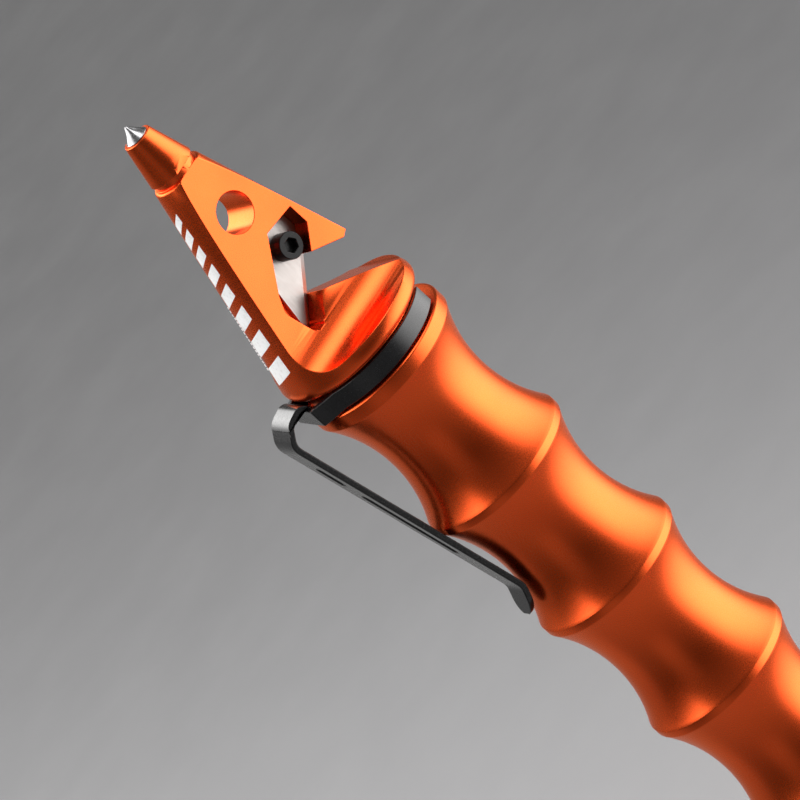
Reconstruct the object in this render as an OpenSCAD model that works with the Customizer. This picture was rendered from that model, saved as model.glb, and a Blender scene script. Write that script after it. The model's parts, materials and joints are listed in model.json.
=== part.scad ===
// Vehicle rescue tool: glass breaker, belt cutter, pocket clip and a hollow scalloped handle with a cable.
// It stands on its flat tail: +Z runs along the axis to the tip, +X is the open side of the cutter's mouth.

/* [Overall] */
// Height of the head flange's underside above the flat tail
flange_z = 131; // [131:0.1:132]
// Outer radius of the head flange
flange_r = 13; // [12.9:0.05:13.1]
// Outer radius of the handle's front rim
rim_r = 12.9; // [12.8:0.05:13]

/* [Head] */
// Height of the nose's end above the flange's underside
nose_h = 44; // [43.8:0.05:44.2]
// Thickness of the flat plate that carries the cutter
plate_t = 7.1; // [7:0.05:7.2]
// Radius of the hollow that blends the plate into the flange
flute_r = 5.8; // [5.6:0.1:6]
// Height of the flange's flat upper side
flange_t = 2.6; // [2.5:0.05:2.7]
// Radius of the cross hole
hole_r = 3.15; // [3:0.05:3.25]
// Height of the cross hole's centre above the flange's underside
hole_h = 26.6; // [26.4:0.1:26.8]

/* [Cutter] */
// Depth from the plate's front face to the face of the blade
blade_depth = 3.3; // [3.2:0.05:3.4]
// Thickness of the blade
blade_t = 0.75; // [0.7:0.05:0.8]
// Width of the ground bevel
bevel_w = 1; // [0.8:0.05:1.1]

/* [Handle] */
// Number of finger scallops
scallops = 5; // [5]
// Distance between two crests
pitch = 23.4; // [23.3:0.05:23.45]
// Radius of the bottom of a scallop
valley_r = 9.8; // [9.75:0.05:9.9]
// Radius of a crest
crest_r = 12.7; // [12.7:0.02:12.74]
// Radius of the bore that stows the cable
bore_r = 8; // [8]

/* [Clip] */
// Direction in which the clip's arm leaves the neck, in degrees from +X
clip_angle = 168; // [0:1:359]
// Thickness of the clip's sheet
clip_t = 0.95; // [0.9:0.05:1]
// Width of the clip's arm at the fold
arm_w = 6.2; // [6:0.1:6.4]
// Width of the clip's arm at its tip
arm_tip_w = 5.2; // [5:0.1:5.4]

/* [Cable] */
// Radius of the steel cable
cable_r = 3; // [3]

/* [Hidden] */
$fn = 96;
// A length that runs past every solid
far = 60;

orange = [0.86, 0.33, 0.08];
steel = [0.75, 0.75, 0.76];
black = [0.06, 0.06, 0.06];
bronze = [0.75, 0.55, 0.25];

// Heights below are measured from the flange's underside, upwards.
half_t = plate_t / 2;
// nose
nose_r = 2.35;
nose_foot_r = 3.95;
nose_foot_h = 37.1;
nose_groove_r = 3.55;
shoulder_r = 4.3;
shoulder_h = 36.1;
shoulder_chamfer = 0.2;
insert_r = 1.9;
insert_h = 2.3;
insert_shank_r = 1.4;
insert_shank_l = 5;
insert_point_r = 0.28;
insert_point_l = 0.16;
insert_flank = [0.56, 0.46];
insert_chamfer = 0.3;
insert_rim_h = 0.12;
// flange
cone_foot_h = 1.5;
flange_corner_r = 1.1;
// cutter mouth, in the X-height plane
hook_inner = [3.6, 13.65];
hook_tip = [8.85, 10.65];
hook_end = [9.95, 11.1];
jaw_corner = [0.3, 9.1];
jaw_end = [11.4, flange_t];
window = [[1, 20.75], [6.6, 20.15], [6.6, 16.7], hook_inner, jaw_corner,
          [-3.2, 6.1], [-4.9, 6.1], [-5.4, 6.8], [-6.4, 11.65], [-5.1, 13.9]];
window_foot = [-4.15, 6.75];
window_foot_r = 0.88;
edge_angle = 42.2;
web_back = 0.9;
blade_len = 15.1;
blade_end_angle = 79;
blade_w = 7;
blade_heel = 1.9;
blade_heel_at = 0.62;
blade_edge_t = 0.08;
blade_overhang = 6.9;
blade_gap = 0.05;
blade_y = -half_t + blade_depth;
pocket_y = blade_y + blade_t + blade_gap;
screw_at = [2.6, 16.4];
screw_head_r = 2.05;
screw_head_h = 2.5;
screw_r = 1.2;
screw_l = 3.4;
hex_across = 2;
hex_depth = 1.3;
// spigot and cable socket
spigot_r = 6.45;
spigot_l = 10.2;
spigot_chamfer = 0.5;
socket_gap = 0.05;
cable_slip = 0.07;
cable_top = -0.8;
head_ring_h = -4;
head_ring_r = 0.53;
ring_groove_w = 1.5;
grub_h = -7.6;
grub_r = 1.5;
grub_gap = 0.04;
grub_sunk = 0.3;
grub_hex_across = 1.5;
grub_hex_depth = 1.8;
// handle
neck_r = 11.2;
neck_lip_r = 11.6;
neck_lip_t = 0.35;
joint_gap = 0.05;
press_gap = 0.02;
rim_top = -3.85;
rim_foot = -6.1;
scallop_r = 22.8;
first_valley = -17.6;
tail_top = first_valley - pitch * (scallops - 0.5);
mouth_r = 8.9;
mouth_l = 12;
tail_bore_r = 9;
tail_bore_l = 7.2;
snap_top = -0.55;
snap_t = 1.1;
snap_groove_r = 9.35;
snap_bore_r = 7.35;
snap_slit = 0.2;
snap_eye_r = 0.4;
snap_eye_in = 0.85;
snap_eye_angle = 16;
fit = 0.05;
// stops and plunger
bumper_t = 1.5;
bumper_bore_r = 4.5;
bush_foot = -mouth_l + bumper_t + 2 * fit;
bush_bore_r = spigot_r + fit;
plunger_top = -103.2;
plunger_l = 12;
plunger_r = bore_r - fit;
plunger_wall = 2.3;
plunger_cavity_r = 5;
cap_t = 2.6;
cap_slot_w = 1;
cap_slot_t = 0.8;
washer_t = 0.5;
ferrule_gap = 0.05;
plunger_foot = plunger_top - plunger_l;
ferrule_top = plunger_top - plunger_wall - washer_t - 2 * ferrule_gap;
ferrule_foot = plunger_foot + cap_t + 2 * ferrule_gap;
washer_foot = ferrule_top + ferrule_gap;
plunger_ring_r = 0.6;
plunger_groove_w = 1.6;
plunger_ring_at = [-3.5, -8.5];
// tail
plug_top = tail_top + tail_bore_l - 0.2;
rear_bumper_t = 1.7;
rear_bumper_r = 7.45;
rear_bumper_foot = flange_z + plug_top - rear_bumper_t + 0.6;
tail_ring_h = tail_top + 1.7;
tail_ring_r = 0.55;
tail_chamfer = 1;
cap_groove_r = 1.6;
cap_groove_out = 0.9;
cap_groove_h = 4.25;
// clip
ring_in = neck_r + fit;
ring_out = ring_in + clip_t;
ring_top = -0.5;
ring_foot = -3.65;
ring_end = 144;
pad_x = 13.7;
pad_w = 8.8;
flare_angle = 34;
fold_top = 1.2;
arm_x = 19;
arm_foot = [11.02, -43.75];
spoon_end = [12.7, -47.75];

function unit(v) = v / norm(v);
function left(v) = [-v[1], v[0]];
// Points of one side of a bent strip at the corner q, with the bend's radius r on the centreline.
function bend_side(p, q, s, r, side) =
    let (u = unit(q - p), v = unit(s - q), turn = u[0] * v[1] - u[1] * v[0],
         angle = atan2(turn, u * v), reach = r * tan(abs(angle) / 2),
         dir = turn > 0 ? 1 : -1, centre = q - u * reach + dir * r * left(u), arm = r - dir * side,
         steps = max(2, round(abs(angle) / 9)))
    [for (i = [0:steps]) let (a = atan2(u[1], u[0]) - dir * 90 + angle * i / steps)
        centre + arm * [cos(a), sin(a)]];
function strip_side(path, radii, side) =
    let (last = len(path) - 1, n0 = left(unit(path[1] - path[0])),
         n1 = left(unit(path[last] - path[last - 1])))
    concat([path[0] + side * n0],
           [for (i = [1:last - 1]) each bend_side(path[i - 1], path[i], path[i + 1], radii[i - 1], side)],
           [path[last] + side * n1]);
function reversed(list) = [for (i = [len(list) - 1:-1:0]) list[i]];
// A strip of even thickness t along a path with rounded corners.
function strip(path, radii, t) =
    concat(strip_side(path, radii, t / 2), reversed(strip_side(path, radii, -t / 2)));

module at_flange() translate([0, 0, flange_z]) children();

module tube(r_out, r_in, foot, top) {
    translate([0, 0, foot]) difference() {
        cylinder(r = r_out, h = top - foot);
        translate([0, 0, -1]) cylinder(r = r_in, h = top - foot + 2);
    }
}

module ring(major, minor, h) translate([0, 0, h]) rotate_extrude() translate([major, 0]) circle(r = minor);

// A prism on an outline drawn in the X-height plane, from y0 to y1.
module across(y0, y1) translate([0, y1, 0]) rotate([90, 0, 0]) linear_extrude(height = y1 - y0) children();

// ---------------------------------------------------------------- head

module head_outline() {
    difference() {
        polygon([[0, -spigot_l], [spigot_r - spigot_chamfer, -spigot_l],
                 [spigot_r, -spigot_l + spigot_chamfer], [spigot_r, 0], [flange_r, 0],
                 [flange_r, cone_foot_h],
                 [shoulder_r, shoulder_h - shoulder_chamfer], [shoulder_r - shoulder_chamfer, shoulder_h],
                 [nose_groove_r, shoulder_h], [nose_groove_r, nose_foot_h], [nose_foot_r, nose_foot_h],
                 [nose_r, nose_h], [0, nose_h]]);
        translate([flange_r - flange_corner_r, 0]) difference() {
            square([flange_corner_r + 1, flange_corner_r]);
            translate([0, flange_corner_r]) circle(r = flange_corner_r);
        }
        translate([spigot_r - fit - 2 * head_ring_r, head_ring_h - ring_groove_w / 2])
            square([far, ring_groove_w]);
    }
}

// Material taken off each side of the cone to leave the plate, with a round hollow at its foot.
module side_cut() {
    rotate([90, 0, 90]) translate([0, 0, -far / 2]) linear_extrude(height = far) difference() {
        translate([half_t, flange_t]) square([far, far]);
        difference() {
            translate([half_t - 1, flange_t - 1]) square([flute_r + 1, flute_r + 1]);
            translate([half_t + flute_r, flange_t + flute_r]) circle(r = flute_r);
        }
    }
}

module mouth_outline() {
    edge = [cos(edge_angle), sin(edge_angle)];
    polygon([jaw_corner, jaw_end, [far, jaw_end[1]], [far, hook_end[1]], hook_end, hook_tip, hook_inner,
             hook_inner + web_back * left(edge), jaw_corner + web_back * left(edge)]);
}

module window_outline() {
    difference() {
        polygon(window);
        difference() {
            translate(window[6] + [-1.6, -1.2]) square([4.2, 1.55]);
            translate(window_foot) circle(r = window_foot_r);
            polygon([jaw_corner, window[5], window[5] + [0, -0.2], [jaw_corner[0], 20], [-3.6, 9.4]]);
        }
    }
}

module grub_axis() {
    for (side = [0, 180]) rotate([0, 0, side]) translate([0, 0, grub_h]) rotate([0, 90, 0]) children();
}

module cutter_head() color(orange) at_flange() difference() {
    rotate_extrude() head_outline();
    side_cut();
    mirror([0, 1, 0]) side_cut();
    across(-far, pocket_y) window_outline();
    across(-far, far) mouth_outline();
    translate([0, 0, hole_h]) rotate([90, 0, 0]) cylinder(r = hole_r, h = far, center = true);
    translate([screw_at[0], 0, screw_at[1]]) rotate([-90, 0, 0]) cylinder(r = screw_r + grub_gap, h = far);
    translate([0, 0, nose_h - insert_shank_l]) cylinder(r = insert_shank_r + press_gap, h = far);
    translate([0, 0, -spigot_l - 1]) cylinder(r = cable_r + socket_gap, h = spigot_l + 1 + cable_top + 0.1);
    grub_axis() cylinder(r = grub_r + grub_gap, h = far);
}

module glass_breaker_tip() color(steel) at_flange() translate([0, 0, nose_h]) rotate_extrude() {
    shank_foot = -insert_shank_l + 0.1;
    polygon([[0, shank_foot], [insert_shank_r - insert_chamfer, shank_foot],
             [insert_shank_r, shank_foot + insert_chamfer], [insert_shank_r, press_gap],
             [insert_r, press_gap], [insert_r, insert_rim_h],
             [insert_r * insert_flank[0], insert_h * insert_flank[1]],
             [insert_point_r, insert_h - insert_point_l], [insert_point_r / 2, insert_h - insert_point_l / 4],
             [0, insert_h]]);
}

// The part of the plane that the blade may fill: inside the window, clear of its walls.
module pocket_outline() {
    off = [blade_gap, 0];
    up = [0, blade_gap];
    under_hook = hook_inner + 0.4 * (hook_tip - hook_inner) - off - up;
    polygon([window[0] - up, window[1] - off - up, window[2] - off, hook_inner - off, under_hook, jaw_corner,
             window[5] + up, window[6] + [window_foot_r, 0] + up, window[7] + off + [0, window_foot_r],
             window[8] + off, window[9] + off]);
}

// The blade's outline with its cutting edge along +X from the origin.
module blade_outline() {
    lean = blade_w / tan(blade_end_angle - edge_angle);
    polygon([[0, 0], [blade_len, 0], [blade_len + lean * blade_heel_at, blade_w * blade_heel_at],
             [blade_len - blade_heel, blade_w], [lean, blade_w]]);
}

module cutter_blade() color(steel) at_flange() {
    start = jaw_corner - blade_overhang * [cos(edge_angle), sin(edge_angle)];
    edge_y = blade_y + blade_t - blade_edge_t;
    difference() {
        intersection() {
            translate([start[0], 0, start[1]]) rotate([0, -edge_angle, 0]) translate([0, 0, blade_gap])
                difference() {
                    across(blade_y, blade_y + blade_t) blade_outline();
                    translate([-far / 2, 0, 0]) rotate([90, 0, 90]) linear_extrude(height = far)
                        polygon([[blade_y - 1, -1], [edge_y, -1], [edge_y, 0], [blade_y, bevel_w],
                                 [blade_y - 1, bevel_w]]);
                }
            across(-far, far) pocket_outline();
        }
        translate([screw_at[0], 0, screw_at[1]]) rotate([90, 0, 0])
            cylinder(r = screw_r + 0.1, h = far, center = true);
    }
}

module blade_screw() color(black) at_flange() translate([screw_at[0], blade_y - press_gap, screw_at[1]])
    rotate([90, 0, 0]) difference() {
        union() {
            cylinder(r = screw_head_r, h = screw_head_h);
            translate([0, 0, -screw_l]) cylinder(r = screw_r, h = screw_l + 1);
        }
        translate([0, 0, screw_head_h - hex_depth])
            cylinder(r = hex_across / sqrt(3), h = far, $fn = 6);
    }

module head_seal_ring() color(black) at_flange()
    ring(spigot_r - head_ring_r, head_ring_r, head_ring_h);

// ---------------------------------------------------------------- cable and plunger

module whip_cable() color(steel) at_flange() translate([0, 0, ferrule_foot])
    cylinder(r = cable_r, h = cable_top - ferrule_foot);

module cable_grub_screws() color(black) at_flange() grub_axis() difference() {
    translate([0, 0, cable_r]) cylinder(r = grub_r, h = spigot_r - cable_r - grub_sunk);
    translate([0, 0, spigot_r - grub_hex_depth]) cylinder(r = grub_hex_across / sqrt(3), h = far, $fn = 6);
}

module cable_ferrule() color(steel) at_flange()
    tube(plunger_cavity_r - ferrule_gap, cable_r, ferrule_foot, ferrule_top);

module stop_plunger() color(steel) at_flange() difference() {
    translate([0, 0, plunger_foot]) cylinder(r = plunger_r, h = plunger_l);
    translate([0, 0, plunger_foot - 1]) cylinder(r = plunger_cavity_r, h = plunger_l - plunger_wall + 1);
    translate([0, 0, plunger_foot]) cylinder(r = cable_r + cable_slip, h = plunger_l + 1);
    for (h = plunger_ring_at) translate([0, 0, plunger_top + h])
        tube(far, plunger_r + fit / 2 - 2 * plunger_ring_r, -plunger_groove_w / 2, plunger_groove_w / 2);
}

module plunger_cap() color(steel) at_flange()
    translate([0, 0, plunger_foot]) difference() {
        cylinder(r = plunger_cavity_r - press_gap, h = cap_t);
        translate([-far / 2, -cap_slot_w / 2, -1]) cube([far, cap_slot_w, 1 + cap_slot_t]);
    }

module swivel_washer() color(bronze) at_flange()
    tube(plunger_cavity_r - cable_slip, cable_r + cable_slip, washer_foot, washer_foot + washer_t);

module plunger_seal_rings() color(black) at_flange() for (h = plunger_ring_at)
    ring(plunger_r + fit / 2 - plunger_ring_r, plunger_ring_r, plunger_top + h);

// ---------------------------------------------------------------- handle

module handle_outline() {
    difference() {
        union() {
            translate([0, tail_top]) square([crest_r, rim_foot - tail_top]);
            translate([0, rim_foot - 0.2]) square([rim_r, rim_top - rim_foot + 0.2]);
            translate([0, rim_top - 1]) square([neck_r, -rim_top + 1 - joint_gap]);
            translate([0, -joint_gap - neck_lip_t]) square([neck_lip_r, neck_lip_t]);
        }
        for (i = [0:scallops - 1])
            translate([valley_r + scallop_r, first_valley - pitch * i]) circle(r = scallop_r);
        translate([-1, tail_top - 1]) square([bore_r + 1, far * 3]);
        translate([-1, -mouth_l]) square([mouth_r + 1, far]);
        translate([-1, tail_top - 1]) square([tail_bore_r + 1, tail_bore_l + 1]);
        translate([0, snap_top - snap_t - fit]) square([snap_groove_r, snap_t + 2 * fit]);
    }
}

module handle_tube() color(orange) at_flange() rotate_extrude($fn = 144) handle_outline();

module mouth_bush() color(bronze) at_flange()
    tube(mouth_r - press_gap, bush_bore_r, bush_foot, snap_top - snap_t - 2 * fit);

module bush_snap_ring() color(steel) at_flange() difference() {
    tube(snap_groove_r - press_gap, snap_bore_r, snap_top - snap_t, snap_top);
    linear_extrude(height = far, center = true)
        polygon([[0, 0], [far, far * snap_slit], [far, -far * snap_slit]]);
    for (side = [-1, 1])
        rotate([0, 0, snap_eye_angle * side]) translate([snap_bore_r + snap_eye_in, 0, -far / 2])
        cylinder(r = snap_eye_r, h = far, $fn = 24);
}

module stop_bumper()
    color(black) at_flange() tube(mouth_r - fit, bumper_bore_r, -mouth_l, -mouth_l + bumper_t);

module tail_cap() color(orange) difference() {
    rotate_extrude() difference() {
        polygon([[0, 0], [crest_r - tail_chamfer, 0], [crest_r, tail_chamfer],
                 [crest_r, flange_z + tail_top - joint_gap],
                 [tail_bore_r - fit, flange_z + tail_top - joint_gap],
                 [tail_bore_r - fit, flange_z + plug_top],
                 [0, flange_z + plug_top]]);
        translate([tail_bore_r - fit - 2 * tail_ring_r, flange_z + tail_ring_h - ring_groove_w / 2])
            square([far, ring_groove_w]);
        translate([crest_r + cap_groove_out, cap_groove_h]) circle(r = cap_groove_r);
    }
    translate([0, 0, rear_bumper_foot]) cylinder(r = rear_bumper_r + fit, h = far);
}

module tail_seal_ring() color(black) at_flange()
    ring(tail_bore_r - fit - tail_ring_r, tail_ring_r, tail_ring_h);

module rear_bumper() color(black) translate([0, 0, rear_bumper_foot])
    cylinder(r = rear_bumper_r, h = rear_bumper_t);

// ---------------------------------------------------------------- clip

// The ring seen along the axis, with the arm's side towards +X: a raised flat pad between two open arcs.
module clip_ring_outline() {
    corner = [pad_x, pad_w / 2];
    inner_corner = [pad_x - clip_t, pad_w / 2 - clip_t * 0.53];
    outer_foot = ring_out * [cos(flare_angle), sin(flare_angle)];
    inner_foot = ring_in * [cos(flare_angle - 1.5), sin(flare_angle - 1.5)];
    flip = [[1, 0], [0, -1]];
    difference() {
        circle(r = ring_out);
        circle(r = ring_in);
        polygon([[0, 0], far * [cos(flare_angle - 1.5), sin(flare_angle - 1.5)],
                 far * [cos(flare_angle - 1.5), -sin(flare_angle - 1.5)]]);
        polygon([[0, 0], far * [cos(ring_end), -sin(ring_end)], [-far, 0],
                 far * [cos(ring_end), sin(ring_end)]]);
    }
    polygon([outer_foot, corner, flip * corner, flip * outer_foot, flip * inner_foot, flip * inner_corner,
             inner_corner, inner_foot]);
}

// The arm seen from its side: up from the pad, folded over and down to an outturned tip.
module clip_arm_outline() {
    path = [[pad_x - clip_t / 2, ring_foot], [pad_x - clip_t / 2, fold_top - clip_t * 0.4],
            [arm_x - 2.2, fold_top - 1.15], [arm_x - 0.25, fold_top - 3.7],
            arm_foot + [-0.1, 0.3], spoon_end];
    polygon(strip(path, [1.3, 2.2, 2.4, 2.6], clip_t));
}

module clip_arm_face() {
    spoon_r = arm_tip_w / 2;
    polygon([[-far, ring_top + 0.1], [far, ring_top + 0.1], [far, fold_top + 5], [-far, fold_top + 5]]);
    polygon([[-arm_w / 2, fold_top + 1], [arm_w / 2, fold_top + 1], [spoon_r, spoon_end[1] + spoon_r],
             [-spoon_r, spoon_end[1] + spoon_r]]);
    translate([0, spoon_end[1] + spoon_r]) circle(r = spoon_r);
}

// A slot with round ends between two heights of the arm.
module arm_slot(top, foot) {
    slot_r = 0.8;
    across(-far, far) for (h = [top - slot_r, foot + slot_r]) translate([0, h]) circle(r = slot_r);
    across(-far, far) translate([-slot_r, foot + slot_r]) square([2 * slot_r, top - foot - 2 * slot_r]);
}

module pocket_clip() color(black) at_flange() rotate([0, 0, clip_angle]) {
    translate([0, 0, ring_foot]) linear_extrude(height = ring_top - ring_foot) clip_ring_outline();
    difference() {
        intersection() {
            across(-arm_w / 2, arm_w / 2) clip_arm_outline();
            rotate([0, 0, 90]) across(-far, far) clip_arm_face();
        }
        rotate([0, 0, 90]) {
            arm_slot(-8.2, -13.4);
            arm_slot(-16.3, -33.4);
        }
    }
}

glass_breaker_tip();
cutter_head();
cutter_blade();
blade_screw();
head_seal_ring();
whip_cable();
cable_grub_screws();
cable_ferrule();
stop_plunger();
plunger_cap();
swivel_washer();
plunger_seal_rings();
pocket_clip();
handle_tube();
mouth_bush();
bush_snap_ring();
stop_bumper();
tail_cap();
tail_seal_ring();
rear_bumper();
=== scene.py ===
"""A vehicle rescue tool: glass breaker, belt cutter, pocket clip and a scalloped handle that stows a cable.

The tool stands on its flat tail. Sizes are in millimetres until a mesh is made, and heights h are measured
upwards from the underside of the head's flange.
"""
import itertools
import json
import math

import bmesh
import bpy
from mathutils import Matrix, Vector

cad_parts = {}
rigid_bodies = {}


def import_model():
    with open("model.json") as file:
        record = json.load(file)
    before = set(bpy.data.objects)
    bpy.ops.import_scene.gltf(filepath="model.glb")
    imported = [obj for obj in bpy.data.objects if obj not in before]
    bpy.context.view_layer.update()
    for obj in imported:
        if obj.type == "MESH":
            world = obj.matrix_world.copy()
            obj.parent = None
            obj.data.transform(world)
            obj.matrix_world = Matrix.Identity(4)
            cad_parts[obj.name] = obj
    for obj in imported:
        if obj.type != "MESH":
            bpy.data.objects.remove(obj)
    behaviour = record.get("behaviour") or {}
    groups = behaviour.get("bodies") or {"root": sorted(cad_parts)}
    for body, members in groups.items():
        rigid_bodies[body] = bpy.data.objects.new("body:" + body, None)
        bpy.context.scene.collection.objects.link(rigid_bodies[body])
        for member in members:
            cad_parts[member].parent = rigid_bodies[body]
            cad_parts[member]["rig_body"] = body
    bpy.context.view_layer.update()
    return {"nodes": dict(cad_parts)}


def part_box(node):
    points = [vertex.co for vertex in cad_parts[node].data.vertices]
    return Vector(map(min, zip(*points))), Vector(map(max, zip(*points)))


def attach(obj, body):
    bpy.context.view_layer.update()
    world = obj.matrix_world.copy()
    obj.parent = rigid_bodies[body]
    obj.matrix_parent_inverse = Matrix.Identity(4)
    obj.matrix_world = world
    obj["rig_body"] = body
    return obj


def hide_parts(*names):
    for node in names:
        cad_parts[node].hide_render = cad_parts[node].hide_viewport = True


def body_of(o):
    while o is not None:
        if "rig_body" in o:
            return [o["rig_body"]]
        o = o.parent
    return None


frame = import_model()
MM = 0.001
NOSE_H = 44.0
FLANGE_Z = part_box("cutter_head")[1].z / MM - NOSE_H
SCENE = bpy.context.scene


# ---------------------------------------------------------------- camera

VIEW_YAW = 26.0
VIEW_ELEVATION = 20.5
VIEW_ROLL = 47.58
VIEW_DISTANCE = 1500.0
VIEW_LENS = 471.2
LOOK_AT_H = -12.1
LOOK_AT_SIDE = -2.29


def make_camera():
    yaw, elevation = math.radians(VIEW_YAW), math.radians(VIEW_ELEVATION)
    side = Vector((math.cos(yaw), -math.sin(yaw), 0))
    back = Vector((-math.sin(yaw) * math.cos(elevation), -math.cos(yaw) * math.cos(elevation),
                   math.sin(elevation)))
    down = side.cross(back)
    roll = math.radians(VIEW_ROLL)
    right = math.cos(roll) * side + math.sin(roll) * down
    up = math.sin(roll) * side - math.cos(roll) * down
    target = Vector((0, 0, FLANGE_Z + LOOK_AT_H)) + LOOK_AT_SIDE * side
    place = Matrix((right, up, back)).transposed().to_4x4()
    place.translation = (target + back * VIEW_DISTANCE) * MM
    data = bpy.data.cameras.new("camera")
    data.lens = VIEW_LENS
    data.sensor_width = 36.0
    data.clip_start = 0.1
    data.clip_end = 20.0
    camera = bpy.data.objects.new("camera", data)
    camera.matrix_world = place
    SCENE.collection.objects.link(camera)
    SCENE.camera = camera


# ---------------------------------------------------------------- materials

# How deep the bump layers are, in metres.
GRAIN_DEPTH = 0.00002
INK_DEPTH = 0.00001
BOARD_DEPTH = 0.0002
# The direction along which the floor's painted light falloff runs, how many metres it takes, and (share of
# that way, grey) along it; these greys are painted light and shade, not the board's own colour.
FLOOR_DIRECTION = (1.0, 0.18, 0.0)
FLOOR_SPAN = 0.5
FLOOR_PAINTED_FALLOFF = ((0.0, 0.33), (0.14, 0.29), (0.3, 0.18), (0.5, 0.11), (0.8, 0.08))


class Nodes:
    """A material's node tree, with short calls for the nodes used here."""

    def __init__(self, name):
        self.material = bpy.data.materials.new(name)
        self.material.use_nodes = True
        self.tree = self.material.node_tree
        self.shader = self.tree.nodes["Principled BSDF"]
        self.place = self.add("ShaderNodeTexCoord").outputs["Object"]

    def add(self, kind, inputs=(), **settings):
        node = self.tree.nodes.new(kind)
        for key, value in settings.items():
            setattr(node, key, value)
        for key, value in dict(inputs).items():
            if isinstance(value, bpy.types.NodeSocket):
                self.tree.links.new(value, node.inputs[key])
            else:
                node.inputs[key].default_value = value
        return node

    def set(self, **inputs):
        for key, value in inputs.items():
            socket = self.shader.inputs[key.replace("_", " ").title().replace("Ior", "IOR")]
            if isinstance(value, bpy.types.NodeSocket):
                self.tree.links.new(value, socket)
            else:
                socket.default_value = value

    def stretched(self, scale, turn=(0, 0, 0)):
        mapping = self.add("ShaderNodeMapping", {"Vector": self.place, "Scale": scale, "Rotation": turn})
        return mapping.outputs["Vector"]

    def noise(self, scale, detail=2.0, roughness=0.5, place=None):
        node = self.add("ShaderNodeTexNoise", {"Vector": place or self.place, "Scale": scale,
                                               "Detail": detail, "Roughness": roughness})
        return node.outputs["Fac"]

    def ramp(self, fac, low, high, low_at=0.3, high_at=0.7):
        """A grey or a colour that runs from low to high as fac runs from low_at to high_at."""
        node = self.add("ShaderNodeValToRGB", {"Fac": fac})
        for stop, at, value in zip(node.color_ramp.elements, (low_at, high_at), (low, high)):
            stop.position = at
            stop.color = (*value, 1) if isinstance(value, tuple) else (value, value, value, 1)
        return node.outputs["Color"]

    def mix(self, fac, a, b, blend="MIX"):
        node = self.add("ShaderNodeMix", data_type="RGBA", blend_type=blend)
        for index, value in ((0, fac), (6, a), (7, b)):
            if isinstance(value, bpy.types.NodeSocket):
                self.tree.links.new(value, node.inputs[index])
            else:
                node.inputs[index].default_value = value if index == 0 else (*value, 1)
        return node.outputs[2]

    def bump(self, *layers):
        """Stacks bump layers of (height socket, strength, distance in metres)."""
        normal = None
        for height, strength, distance in layers:
            inputs = {"Height": height, "Strength": strength, "Distance": distance}
            if normal is not None:
                inputs["Normal"] = normal
            normal = self.add("ShaderNodeBump", inputs).outputs["Normal"]
        self.set(normal=normal)


def anodised_orange():
    n = Nodes("anodised_orange")
    cloud = n.noise(90.0, 3.0)
    grain = n.noise(7000.0, 2.0, 0.6)
    colour = n.mix(n.ramp(cloud, 0.0, 1.0), (0.86, 0.088, 0.010), (0.92, 0.104, 0.013))
    n.set(base_color=colour, metallic=1.0, roughness=n.ramp(grain, 0.24, 0.32),
          specular_tint=(1.0, 0.65, 0.45, 1), coat_weight=0.3, coat_roughness=0.26, coat_ior=1.5)
    n.bump((grain, 0.3, GRAIN_DEPTH), (n.noise(1400.0, 2.0), 0.1, GRAIN_DEPTH))
    return n.material


def black_finish(name, colour, rough, coat, grain_scale, shine=0.4):
    n = Nodes(name)
    grain = n.noise(grain_scale, 3.0, 0.6)
    n.set(base_color=n.mix(n.ramp(n.noise(300.0), 0.0, 1.0), colour, tuple(1.5 * c for c in colour)),
          roughness=n.ramp(grain, rough - 0.05, rough + 0.06), specular_ior_level=shine, coat_weight=coat,
          coat_roughness=0.2)
    n.bump((grain, 0.08, GRAIN_DEPTH))
    return n.material


def brushed_steel(name, colour, rough, turn=(0, 0, 0), scale=(400.0, 400.0, 6000.0)):
    """Steel with fine grinding lines that run across the direction of the largest scale."""
    n = Nodes(name)
    lines = n.noise(1.0, 3.0, 0.65, n.stretched(scale, turn))
    smear = n.noise(180.0, 3.0)
    n.set(base_color=n.mix(n.ramp(smear, 0.0, 1.0), colour, tuple(0.86 * c for c in colour)), metallic=1.0,
          roughness=n.ramp(lines, rough - 0.06, rough + 0.1))
    n.bump((lines, 0.22, GRAIN_DEPTH))
    return n.material


def seal_rubber():
    n = Nodes("seal_rubber")
    n.set(base_color=n.mix(n.ramp(n.noise(500.0), 0.0, 1.0), (0.012, 0.012, 0.013), (0.02, 0.02, 0.021)),
          roughness=n.ramp(n.noise(2500.0), 0.5, 0.68), specular_ior_level=0.35)
    n.bump((n.noise(3000.0), 0.25, GRAIN_DEPTH))
    return n.material


def white_print():
    n = Nodes("white_print")
    worn = n.noise(1500.0, 4.0, 0.7)
    n.set(base_color=n.mix(n.ramp(worn, 0.0, 1.0, 0.2, 0.5), (0.7, 0.68, 0.66), (0.93, 0.93, 0.93)),
          roughness=n.ramp(worn, 0.4, 0.55), specular_ior_level=0.4)
    n.bump((worn, 0.15, INK_DEPTH))
    return n.material


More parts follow.
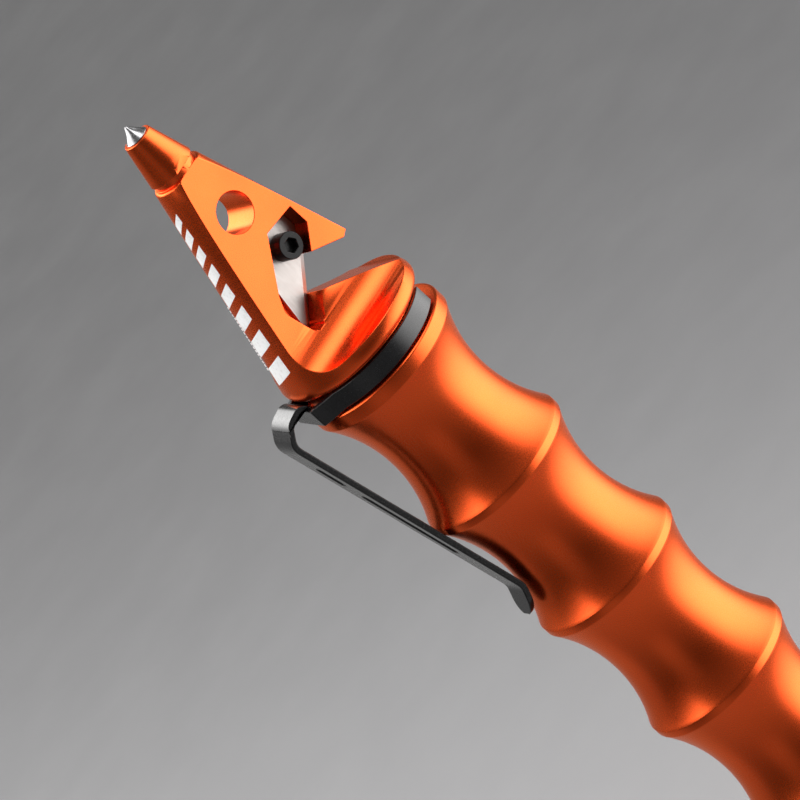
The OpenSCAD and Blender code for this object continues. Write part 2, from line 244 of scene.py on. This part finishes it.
def pale_floor_painted_falloff():
    """Pale board with painted light falloff: its grey darkens softly along the floor's direction of change,
    in place of studio light that falls off across it.
    """
    n = Nodes("pale_floor_painted_falloff")
    along = n.add("ShaderNodeVectorMath", {0: n.place, 1: FLOOR_DIRECTION}, operation="DOT_PRODUCT")
    span = n.add("ShaderNodeMapRange", {"Value": along.outputs["Value"], "From Min": 0.0,
                                        "From Max": FLOOR_SPAN})
    # Painted light falloff: the board's grey steps down along FLOOR_DIRECTION, standing in for studio light
    # that fades across the floor.
    painted_falloff = n.add("ShaderNodeValToRGB", {"Fac": span.outputs["Result"]}, label="painted_falloff")
    painted_falloff.color_ramp.interpolation = "B_SPLINE"
    stops = painted_falloff.color_ramp.elements
    while len(stops) < len(FLOOR_PAINTED_FALLOFF):
        stops.new(0.5)
    for stop, (at, grey) in zip(stops, FLOOR_PAINTED_FALLOFF):
        stop.position = at
        stop.color = (grey, grey, 1.02 * grey, 1)
    n.set(base_color=painted_falloff.outputs["Color"], roughness=n.ramp(n.noise(60.0, 4.0), 0.65, 0.8),
          specular_ior_level=0.2)
    n.bump((n.noise(900.0, 3.0), 0.05, BOARD_DEPTH))
    return n.material


# How far the blade's grinding lines are turned, in degrees: as far as its edge leans.
EDGE_ANGLE = 42.2
ORANGE = anodised_orange()
BLACK_CLIP = black_finish("black_clip", (0.005, 0.005, 0.0055), 0.24, 0.12, 2600.0)
BLACK_OXIDE = black_finish("black_oxide", (0.004, 0.004, 0.004), 0.3, 0.0, 3500.0, 0.18)
BLADE_STEEL = brushed_steel("blade_steel", (0.34, 0.315, 0.3), 0.36, (0, math.radians(EDGE_ANGLE), 0),
                            (5000.0, 700.0, 500.0))
CARBIDE = brushed_steel("carbide", (0.42, 0.42, 0.43), 0.2, (0, 0, 0), (2500.0, 2500.0, 2500.0))
TURNED_STEEL = brushed_steel("turned_steel", (0.6, 0.6, 0.61), 0.28)
CABLE_STEEL = brushed_steel("cable_steel", (0.55, 0.55, 0.56), 0.3, (0, 0, 0), (3000.0, 3000.0, 800.0))
BRONZE = brushed_steel("bronze", (0.55, 0.33, 0.12), 0.3)
RUBBER = seal_rubber()
WHITE = white_print()


# ---------------------------------------------------------------- meshes

# Angles in degrees.
SHARP_ANGLE = 28.0
TIGHT_ANGLE = 40.0
FLAT_ANGLE = 0.3
FILLET_STEP = 12.0
TURNED_CREASE = 35.0
# Distances below which two points are one, in metres, and a radius that counts as the axis, in millimetres.
WELD_DISTANCE = 1e-5
SPECK = 1e-6
ON_AXIS = 1e-6
TURNED_SEGMENTS = 256


def piece(name, mesh, material, body, replaced):
    """An object of the tool that rides on a body and stands for CAD nodes."""
    obj = bpy.data.objects.new(name, mesh)
    SCENE.collection.objects.link(obj)
    obj.data.materials.clear()
    obj.data.materials.append(material)
    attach(obj, body)
    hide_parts(*replaced)
    return obj


def mesh_of(name, points, faces):
    """A smooth mesh from points in millimetres whose z is a height above the flange's underside."""
    mesh = bpy.data.meshes.new(name)
    mesh.from_pydata([(x * MM, y * MM, (z + FLANGE_Z) * MM) for x, y, z in points], [], faces)
    mesh.validate()
    mesh.shade_smooth()
    return mesh


def rounded(corners):
    """A closed outline of (r, h, fillet) corners as (r, h) points, with each fillet as an arc."""
    points = []
    for i, (r, h, fillet) in enumerate(corners):
        here = Vector((r, h))
        if not fillet:
            points.append((r, h))
            continue
        back = (Vector(corners[i - 1][:2]) - here).normalized()
        ahead = (Vector(corners[(i + 1) % len(corners)][:2]) - here).normalized()
        half = back.angle(ahead) / 2
        centre = here + (back + ahead).normalized() * fillet / math.sin(half)
        start = here + back * fillet / math.tan(half) - centre
        sweep = math.pi - 2 * half
        turn = math.copysign(1, back.x * ahead.y - back.y * ahead.x)
        steps = max(2, round(math.degrees(sweep) / FILLET_STEP))
        for k in range(steps + 1):
            spun = Matrix.Rotation(-turn * sweep * k / steps, 2) @ start
            points.append(tuple(centre + spun))
    return points


def lathe(name, outline, segments, closed=True):
    """A turned mesh. The outline's (r, h) points run round the section; one on the axis becomes a pole."""
    points, rows = [], []
    for r, h in outline:
        if r < ON_AXIS:
            rows.append([len(points)] * segments)
            points.append((0, 0, h))
            continue
        rows.append(range(len(points), len(points) + segments))
        angles = (2 * math.pi * k / segments for k in range(segments))
        points.extend((r * math.cos(a), r * math.sin(a), h) for a in angles)
    pairs = list(zip(rows, rows[1:] + rows[:1])) if closed else list(zip(rows, rows[1:]))
    faces = []
    for lower, upper in pairs:
        for k in range(segments):
            m = (k + 1) % segments
            face = list(dict.fromkeys((lower[k], lower[m], upper[m], upper[k])))
            if len(face) > 2:
                faces.append(face)
    return mesh_of(name, points, faces)


def outward(mesh):
    """Makes every face of a closed mesh look outwards."""
    work = bmesh.new()
    work.from_mesh(mesh)
    bmesh.ops.recalc_face_normals(work, faces=work.faces)
    work.to_mesh(mesh)
    work.free()
    return mesh


def welded(node):
    """A copy of a CAD node's mesh with its seams welded and its flat faces in one piece each."""
    mesh = frame["nodes"][node].data.copy()
    work = bmesh.new()
    work.from_mesh(mesh)
    bmesh.ops.remove_doubles(work, verts=work.verts, dist=WELD_DISTANCE)
    bmesh.ops.dissolve_degenerate(work, edges=work.edges, dist=SPECK)
    bmesh.ops.dissolve_limit(work, angle_limit=math.radians(FLAT_ANGLE), verts=work.verts, edges=work.edges)
    bmesh.ops.recalc_face_normals(work, faces=work.faces)
    mesh = bpy.data.meshes.new(node)
    work.to_mesh(mesh)
    work.free()
    mesh.shade_smooth()
    mesh.set_sharp_from_angle(angle=math.radians(SHARP_ANGLE))
    return mesh


def bevel(obj, width, segments):
    """Rounds the sharp edges of a piece by a width in millimetres, save where two meet at a small angle."""
    work = bmesh.new()
    work.from_mesh(obj.data)
    weight = work.edges.layers.float.new("bevel_weight_edge")
    sharp = {e for e in work.edges if e.is_manifold and e.calc_face_angle() > math.radians(SHARP_ANGLE)}
    tight = set()
    for vert in work.verts:
        rays = [(e.other_vert(vert).co - vert.co).normalized() for e in vert.link_edges if e in sharp]
        if any(a.angle(b) < math.radians(TIGHT_ANGLE) for a, b in itertools.combinations(rays, 2)):
            tight.add(vert)
    for edge in sharp:
        edge[weight] = 0.0 if tight.intersection(edge.verts) else 1.0
    work.to_mesh(obj.data)
    work.free()
    modifier = obj.modifiers.new("bevel", "BEVEL")
    modifier.width = width * MM
    modifier.segments = segments
    modifier.limit_method = "WEIGHT"
    modifier.harden_normals = True
    modifier.use_clamp_overlap = False


def crease(obj, angle):
    """Keeps the shading crisp over edges that turn by more than an angle in degrees."""
    obj.data.set_sharp_from_angle(angle=math.radians(angle))


# ---------------------------------------------------------------- head

CONE_FOOT_R = 13.0
CONE_FOOT_H = 1.5
SHOULDER_R = 4.3
SHOULDER_H = 36.1
# The print reaches this far out of the cone, and as far into it.
PROUD = 0.03
PATCH_STEPS = 10
# Arcs are in degrees round the axis. Each bar is followed by the next after BAR_PITCH times its own width.
BAR_ARC = (162.0, 188.0)
BARS = 8
BAR_TOP = 31.0
BAR_WIDTH = 1.5
BAR_PITCH = 1.72
BAR_GROWTH = 1.1
BAR_CLIMB = 1.9
TICK_ARC = (156.5, 159.5)
TICKS = 18
TICK_FOOT = 6.0
TICK_PITCH = 0.62
TICK_WIDTH = 0.36
TICK_CLIMB = 0.12


def cone_r(h):
    """The radius of the head's cone at a height."""
    return CONE_FOOT_R - (h - CONE_FOOT_H) * (CONE_FOOT_R - SHOULDER_R) / (SHOULDER_H - CONE_FOOT_H)


def cone_patches(name, patches):
    """Thin printed patches on the head's cone: each an arc, foot and top heights at the arc's start, and how
    far the patch climbs on its way to the arc's end."""
    points, faces = [], []
    for (start, end), foot, top, climb in patches:
        first = len(points)
        for layer in (-PROUD, PROUD):
            for k in range(PATCH_STEPS + 1):
                angle = math.radians(start + (end - start) * k / PATCH_STEPS)
                for h in (foot, top):
                    height = h + climb * k / PATCH_STEPS
                    r = cone_r(height) + layer
                    points.append((r * math.cos(angle), r * math.sin(angle), height))
        skin = 2 * (PATCH_STEPS + 1)
        for k in range(PATCH_STEPS):
            a = first + 2 * k
            faces.append((a, a + 1, a + 3, a + 2))
            faces.append((a + skin, a + skin + 2, a + skin + 3, a + skin + 1))
            faces.append((a, a + 2, a + skin + 2, a + skin))
            faces.append((a + 1, a + skin + 1, a + skin + 3, a + 3))
        for a in (first, first + 2 * PATCH_STEPS):
            faces.append((a, a + skin, a + skin + 1, a + 1))
    mesh = outward(mesh_of(name, points, faces))
    mesh.set_sharp_from_angle(angle=math.radians(SHARP_ANGLE))
    return mesh


def make_marks():
    """Plain slanted bars down the spine, growing towards the flange, with a row of ticks beside them."""
    bars, top, width = [], BAR_TOP, BAR_WIDTH
    for _ in range(BARS):
        bars.append((BAR_ARC, top - width, top, BAR_CLIMB))
        top -= width * BAR_PITCH
        width *= BAR_GROWTH
    ticks = []
    for i in range(TICKS):
        foot = TICK_FOOT + TICK_PITCH * i
        ticks.append((TICK_ARC, foot, foot + TICK_WIDTH, TICK_CLIMB))
    for name, patches in (("spine_bars", bars), ("spine_ticks", ticks)):
        obj = bpy.data.objects.new(name, cone_patches(name, patches))
        obj.data.materials.append(WHITE)
        SCENE.collection.objects.link(obj)
        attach(obj, "head")


# ---------------------------------------------------------------- handle

# Radii, heights and the scallops' pitch in millimetres, as in the CAD.
SCALLOPS = 5
SCALLOP_STEPS = 44
SCALLOP_FILLET = 0.35
PITCH = 23.4
VALLEY_R = 9.8
CREST_R = 12.7
SCALLOP_R = 22.8
FIRST_VALLEY = -17.6
RIM_R = 12.9
RIM_TOP = -3.85
NECK_R = 11.2
LIP_R = 11.6
LIP_T = 0.35
TOP = -0.05
TAIL_TOP = FIRST_VALLEY - PITCH * (SCALLOPS - 0.5)
BORE_R = 8.0
MOUTH_R = 8.9
MOUTH_FOOT = -12.0
TAIL_BORE_R = 9.0
TAIL_BORE_TOP = TAIL_TOP + 7.2
SNAP_TOP = -0.5
SNAP_FOOT = -1.7
SNAP_R = 9.35


def scallop(valley, top_r, foot_r):
    """The (r, h, fillet) points down one scallop, from radius top_r to radius foot_r."""
    centre_r = VALLEY_R + SCALLOP_R
    start = math.acos((centre_r - top_r) / SCALLOP_R)
    end = -math.acos((centre_r - foot_r) / SCALLOP_R)
    points = []
    for k in range(SCALLOP_STEPS + 1):
        a = start + (end - start) * k / SCALLOP_STEPS
        fillet = SCALLOP_FILLET if k in (0, SCALLOP_STEPS) else 0
        points.append((centre_r - SCALLOP_R * math.cos(a), valley + SCALLOP_R * math.sin(a), fillet))
    return points


def handle_outline():
    """The handle's section: down the outside over the scallops, and up inside through the bore."""
    outer = [(LIP_R, TOP, 0.12), (LIP_R, TOP - LIP_T, 0.1), (NECK_R, TOP - LIP_T, 0), (NECK_R, RIM_TOP, 0),
             (RIM_R, RIM_TOP, 0.4)]
    for i in range(SCALLOPS):
        top_r = RIM_R if i == 0 else CREST_R
        outer += scallop(FIRST_VALLEY - PITCH * i, top_r, CREST_R)
    inner = [(CREST_R, TAIL_TOP, 0.3), (TAIL_BORE_R, TAIL_TOP, 0.3), (TAIL_BORE_R, TAIL_BORE_TOP, 0),
             (BORE_R, TAIL_BORE_TOP, 0.2), (BORE_R, MOUTH_FOOT, 0.2), (MOUTH_R, MOUTH_FOOT, 0),
             (MOUTH_R, SNAP_FOOT, 0), (SNAP_R, SNAP_FOOT, 0), (SNAP_R, SNAP_TOP, 0),
             (MOUTH_R, SNAP_TOP, 0.12), (MOUTH_R, TOP, 0.2)]
    return rounded(outer + inner)


def make_handle():
    mesh = outward(lathe("handle_tube", handle_outline(), TURNED_SEGMENTS))
    handle = piece("scalloped_handle", mesh, ORANGE, "handle", ["handle_tube"])
    crease(handle, TURNED_CREASE)


# ---------------------------------------------------------------- tail cap

CAP_TOP = TAIL_TOP - 0.05
CAP_FOOT = -FLANGE_Z
PLUG_R = TAIL_BORE_R - 0.05
PLUG_TOP = TAIL_TOP + 7.0
SEAT_R = 7.5
SEAT_FOOT = PLUG_TOP - 1.1
RING_GROOVE_R = 7.85
RING_GROOVE_H = TAIL_TOP + 1.7
RING_GROOVE_HALF = 0.75
CAP_CHAMFER = 1.0
# The groove round the cap is an arc of this radius, whose centre lies this far outside the cap.
GROOVE_R = 1.6
GROOVE_OUT = 0.9
GROOVE_STEPS = 20
GROOVE_FILLET = 0.15
GROOVE_H = CAP_FOOT + 4.25


def cap_outline():
    """The tail cap's section, from the axis up the outside and the plug, and back to the axis."""
    half = math.acos(GROOVE_OUT / GROOVE_R)
    groove = []
    for k in range(GROOVE_STEPS + 1):
        a = -half + 2 * half * k / GROOVE_STEPS
        fillet = GROOVE_FILLET if k in (0, GROOVE_STEPS) else 0
        r = CREST_R + GROOVE_OUT - GROOVE_R * math.cos(a)
        groove.append((r, GROOVE_H + GROOVE_R * math.sin(a), fillet))
    low, high = RING_GROOVE_H - RING_GROOVE_HALF, RING_GROOVE_H + RING_GROOVE_HALF
    base = [(0, CAP_FOOT, 0), (CREST_R - CAP_CHAMFER, CAP_FOOT, 0.3),
            (CREST_R, CAP_FOOT + CAP_CHAMFER, 0.3)]
    plug = [(CREST_R, CAP_TOP, 0.3), (PLUG_R, CAP_TOP, 0.1), (PLUG_R, low, 0.08), (RING_GROOVE_R, low, 0.08),
            (RING_GROOVE_R, high, 0.08), (PLUG_R, high, 0.08), (PLUG_R, PLUG_TOP, 0.3),
            (SEAT_R, PLUG_TOP, 0.1), (SEAT_R, SEAT_FOOT, 0.05), (0, SEAT_FOOT, 0)]
    return rounded(base + groove + plug)


def make_tail_cap():
    mesh = outward(lathe("tail_cap", cap_outline(), TURNED_SEGMENTS, closed=False))
    cap = piece("turned_tail_cap", mesh, ORANGE, "handle", ["tail_cap"])
    crease(cap, TURNED_CREASE)


# ---------------------------------------------------------------- cable

CABLE_R = 3.0
CABLE_TOP = -0.8
STRANDS = 6
STRAND_LAY = 26.0
WIRES = 7
WIRE_LAY = 9.0
WIRE_SIDES = 7
WIRE_STEP = 0.55
WIRE_CREASE = 50.0
# The wire in a strand's middle is this much thicker than those laid round it.
CORE_SWELL = 1.25
# How far up a wire its direction is taken.
AHEAD = 0.01


def wire(points, faces, centre, foot, top, radius):
    """Adds one closed wire whose centre is a function of its height."""
    steps = round((top - foot) / WIRE_STEP)
    first = len(points)
    for i in range(steps + 1):
        h = foot + (top - foot) * i / steps
        here, ahead = Vector(centre(h)), Vector(centre(h + AHEAD))
        along = (ahead - here).normalized()
        across = along.cross(Vector((0, 1, 0))).normalized()
        other = along.cross(across)
        for k in range(WIRE_SIDES):
            a = 2 * math.pi * k / WIRE_SIDES
            points.append(here + radius * (math.cos(a) * across + math.sin(a) * other))
    for i in range(steps):
        ring = first + i * WIRE_SIDES
        for k in range(WIRE_SIDES):
            a, b = ring + k, ring + (k + 1) % WIRE_SIDES
            faces.append((a, b, b + WIRE_SIDES, a + WIRE_SIDES))
    faces.append(tuple(first + k for k in reversed(range(WIRE_SIDES))))
    faces.append(tuple(first + steps * WIRE_SIDES + k for k in range(WIRE_SIDES)))


def spiral(radius, lay, phase, around=None):
    """A helix round the axis, or round another helix, as a function of height."""
    def centre(h):
        a = 2 * math.pi * h / lay + phase
        x, y = (0, 0) if around is None else around(h)[:2]
        return (x + radius * math.cos(a), y + radius * math.sin(a), h)
    return centre


def make_cable():
    """A straight cable: six strands round a seventh, each a thicker wire with seven laid round it."""
    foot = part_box("whip_cable")[0].z / MM - FLANGE_Z
    strand_r = CABLE_R / 3
    wire_r = strand_r / 3
    strands = [spiral(0, STRAND_LAY, 0)]
    strands += [spiral(2 * strand_r, STRAND_LAY, 2 * math.pi * i / STRANDS) for i in range(STRANDS)]
    points, faces = [], []
    for strand in strands:
        wire(points, faces, strand, foot, CABLE_TOP, wire_r * CORE_SWELL)
        for k in range(WIRES):
            lay = spiral(2 * wire_r, -WIRE_LAY, 2 * math.pi * k / WIRES, strand)
            wire(points, faces, lay, foot, CABLE_TOP, wire_r)
    mesh = outward(mesh_of("cable", points, faces))
    cable = piece("twisted_cable", mesh, CABLE_STEEL, "head", ["whip_cable"])
    crease(cable, WIRE_CREASE)


# ---------------------------------------------------------------- parts that keep the CAD shape

# New name, CAD node, material, slot, bevel width in millimetres and bevel segments.
KEPT_SHAPES = (
    ("machined_head", "cutter_head", ORANGE, "orange_anodise", 0.1, 2),
    ("ground_blade", "cutter_blade", BLADE_STEEL, "blade_steel", 0.02, 1),
    ("socket_screw", "blade_screw", BLACK_OXIDE, "black_oxide", 0.14, 3),
    ("breaker_tip", "glass_breaker_tip", CARBIDE, "carbide", 0.03, 2),
    ("head_o_ring", "head_seal_ring", RUBBER, "seal_rubber", 0, 0),
    ("set_screws", "cable_grub_screws", BLACK_OXIDE, "black_oxide", 0.06, 2),
    ("crimped_ferrule", "cable_ferrule", TURNED_STEEL, "turned_steel", 0.15, 2),
    ("turned_plunger", "stop_plunger", TURNED_STEEL, "turned_steel", 0.15, 2),
    ("slotted_plunger_cap", "plunger_cap", TURNED_STEEL, "turned_steel", 0.1, 2),
    ("thrust_washer", "swivel_washer", BRONZE, "bronze", 0.05, 2),
    ("plunger_o_rings", "plunger_seal_rings", RUBBER, "seal_rubber", 0, 0),
    ("bent_pocket_clip", "pocket_clip", BLACK_CLIP, "black_clip", 0.18, 3),
    ("guide_bush", "mouth_bush", BRONZE, "bronze", 0.15, 2),
    ("retaining_ring", "bush_snap_ring", TURNED_STEEL, "turned_steel", 0.08, 2),
    ("front_buffer", "stop_bumper", RUBBER, "seal_rubber", 0.2, 2),
    ("tail_o_ring", "tail_seal_ring", RUBBER, "seal_rubber", 0, 0),
    ("rear_buffer", "rear_bumper", RUBBER, "seal_rubber", 0.25, 2))


def make_kept_shapes():
    for name, node, material, slot, width, segments in KEPT_SHAPES:
        body = body_of(frame["nodes"][node])[0]
        obj = piece(name, welded(node), material, body, [node])
        if width:
            bevel(obj, width, segments)


# ---------------------------------------------------------------- studio

# Azimuth and elevation, width and height at half brightness and soft edge, all in degrees, and radiance.
SOFTBOXES = (
    (-31, -13, 64, 58, 44, 5.0),
    (98, 34, 52, 34, 14, 6.0),
    (160, 38, 54, 30, 16, 3.0),
    (-30, 63, 60, 20, 12, 4.5),
    (-150, -10, 30, 40, 20, 0.15),
    (80, -18, 110, 60, 40, 0.2))
# Only directions in front of a panel are lit, and its inner half width in degrees is no less than this.
IN_FRONT = 0.01
LEAST_HALF = 0.5
BEND_STEPS = 15
BACKDROP_SEGMENTS = 96


class Sky(Nodes):
    """The studio round the tool: a dim surround with softboxes far away, each at its own direction."""

    def __init__(self, name):
        world = bpy.data.worlds.new(name)
        world.use_nodes = True
        self.tree = world.node_tree
        self.direction = self.add("ShaderNodeTexCoord").outputs["Generated"]
        self.light = None
        SCENE.world = world

    def dot(self, vector):
        node = self.add("ShaderNodeVectorMath", {0: self.direction, 1: vector}, operation="DOT_PRODUCT")
        return node.outputs["Value"]

    def math(self, operation, a, b=0.0):
        return self.add("ShaderNodeMath", {0: a, 1: b}, operation=operation).outputs[0]

    def fade(self, value, near, far):
        """1 up to near, falling smoothly to 0 at far."""
        values = {"Value": value, "From Min": near, "From Max": far, "To Min": 1.0, "To Max": 0.0}
        node = self.add("ShaderNodeMapRange", values, interpolation_type="SMOOTHSTEP")
        return node.outputs["Result"]

    def softbox(self, azimuth, elevation, width, height, soft, radiance):
        """A soft-edged panel, with its values as in SOFTBOXES."""
        a, e = math.radians(azimuth), math.radians(elevation)
        centre = Vector((math.cos(a) * math.cos(e), math.sin(a) * math.cos(e), math.sin(e)))
        level = Vector((-math.sin(a), math.cos(a), 0))
        upright = centre.cross(level)
        front = self.dot(centre)
        glow = self.math("GREATER_THAN", front, IN_FRONT)
        for axis, size in ((level, width), (upright, height)):
            offset = self.math("ABSOLUTE", self.math("DIVIDE", self.dot(axis), front))
            halves = (max(LEAST_HALF, (size - side * soft) / 2) for side in (1, -1))
            near, far = (math.tan(math.radians(half)) for half in halves)
            glow = self.math("MULTIPLY", glow, self.fade(offset, near, far))
        self.pour(self.math("MULTIPLY", glow, radiance))

    def pour(self, light):
        self.light = light if self.light is None else self.math("ADD", self.light, light)

    def surround(self, low, level, high):
        """Even light that runs from below, over level, to above."""
        height = self.dot((0, 0, 1))
        rise = self.math("MAXIMUM", height, 0.0)
        fall = self.math("MAXIMUM", self.math("MULTIPLY", height, -1.0), 0.0)
        self.pour(self.math("ADD", level, self.math("ADD", self.math("MULTIPLY", rise, high - level),
                                                    self.math("MULTIPLY", fall, low - level))))

    def finish(self, colour):
        background = self.tree.nodes["Background"]
        background.inputs["Color"].default_value = (*colour, 1)
        self.tree.links.new(self.light, background.inputs["Strength"])


def make_backdrop():
    """A round floor that curves up into a wall, seen by the camera but not mirrored in the metal."""
    middle_r, floor_r, bend_r, wall_top = 0.25, 3.0, 0.6, 2.5
    arc = [math.radians(90 * k / BEND_STEPS) for k in range(1, BEND_STEPS + 1)]
    outline = [(0, 0), (middle_r, 0), (floor_r, 0)]
    outline += [(floor_r + bend_r * math.sin(a), bend_r * (1 - math.cos(a))) for a in arc]
    outline.append((floor_r + bend_r, wall_top))
    mesh = lathe("backdrop", [(r / MM, h / MM - FLANGE_Z) for r, h in outline], BACKDROP_SEGMENTS,
                 closed=False)
    backdrop = bpy.data.objects.new("backdrop", mesh)
    mesh.materials.append(pale_floor_painted_falloff())
    SCENE.collection.objects.link(backdrop)
    backdrop.visible_glossy = False
    backdrop.visible_shadow = False


def make_studio():
    make_backdrop()
    sky = Sky("studio")
    sky.surround(low=0.38, level=0.05, high=0.25)
    for panel in SOFTBOXES:
        sky.softbox(*panel)
    sky.finish(colour=(1.0, 0.99, 0.98))
    SCENE.view_settings.view_transform = "Standard"


make_camera()
make_kept_shapes()
make_marks()
make_handle()
make_tail_cap()
make_cable()
make_studio()
